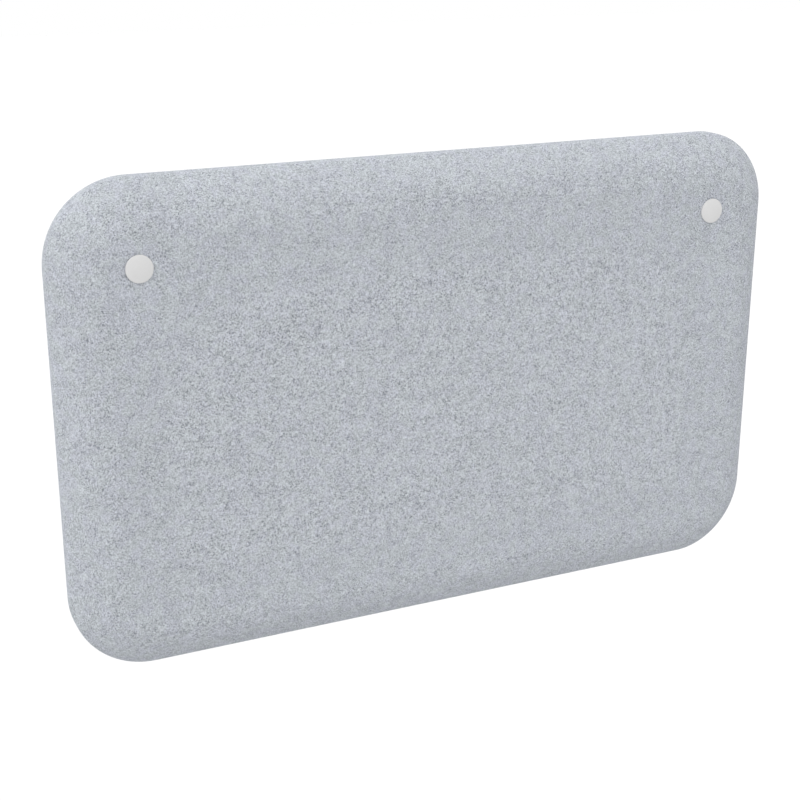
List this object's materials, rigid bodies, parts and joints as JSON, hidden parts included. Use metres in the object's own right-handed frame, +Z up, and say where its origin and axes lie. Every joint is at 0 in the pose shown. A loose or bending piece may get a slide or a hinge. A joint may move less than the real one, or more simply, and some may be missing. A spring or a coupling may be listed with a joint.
{
  "type": "acoustic divider screen",
  "caption": "Padded acoustic divider panel with round corners and rolled edges: felted fabric over pads on a board frame, with capped screw fixings near its top corners.",
  "frame": {"origin": "midway between the two M8 threads at the rear, on the plane of the rear ring nuts' faces, which meets whatever holds the panel", "axes": "+Y out of the back, towards what holds the panel; the capped front faces -Y; +X along the panel's width, to the right seen from the front; +Z up"},
  "size_m": [1.2, 0.0965, 0.74],
  "materials": {
    "frame_board": "sanded birch plywood",
    "dowel_wood": "turned beech",
    "absorber_board": "pressed polyester fibre",
    "pad_fleece": "soft polyester fleece",
    "felt_cover": "melange grey wool felt",
    "hem_cord": "twisted cotton",
    "plated_steel": "zinc plated, satin",
    "screw_steel": "zinc plated",
    "cap_plastic": "fine matte, warm white"
  },
  "bodies": {
    "panel": {"top_rail": "frame_board", "bottom_rail": "frame_board", "left_stile": "frame_board", "right_stile": "frame_board", "centre_stile": "frame_board", "top_left_block": "frame_board", "top_right_block": "frame_board", "bottom_left_block": "frame_board", "bottom_right_block": "frame_board", "frame_dowels": "dowel_wood", "left_core": "absorber_board", "right_core": "absorber_board", "front_pad": "pad_fleece", "rear_pad": "pad_fleece", "front_cover": "felt_cover", "rear_cover": "felt_cover", "hem_cord": "hem_cord", "left_hanger_tube": "plated_steel", "right_hanger_tube": "plated_steel", "left_plate_screws": "screw_steel", "right_plate_screws": "screw_steel", "left_cup_washer": "plated_steel", "right_cup_washer": "plated_steel", "left_clamp_screw": "screw_steel", "right_clamp_screw": "screw_steel", "left_ring_nut": "plated_steel", "right_ring_nut": "plated_steel"},
    "left_cap": {"left_cap": "cap_plastic"},
    "right_cap": {"right_cap": "cap_plastic"}
  },
  "joints": [
    {"name": "left_cap_pull", "type": "slide", "parent": "panel", "child": "left_cap", "axis": [0, -1, 0], "range_m": [0, 0.015]},
    {"name": "right_cap_pull", "type": "slide", "parent": "panel", "child": "right_cap", "axis": [0, -1, 0], "range_m": [0, 0.015]}
  ]
}
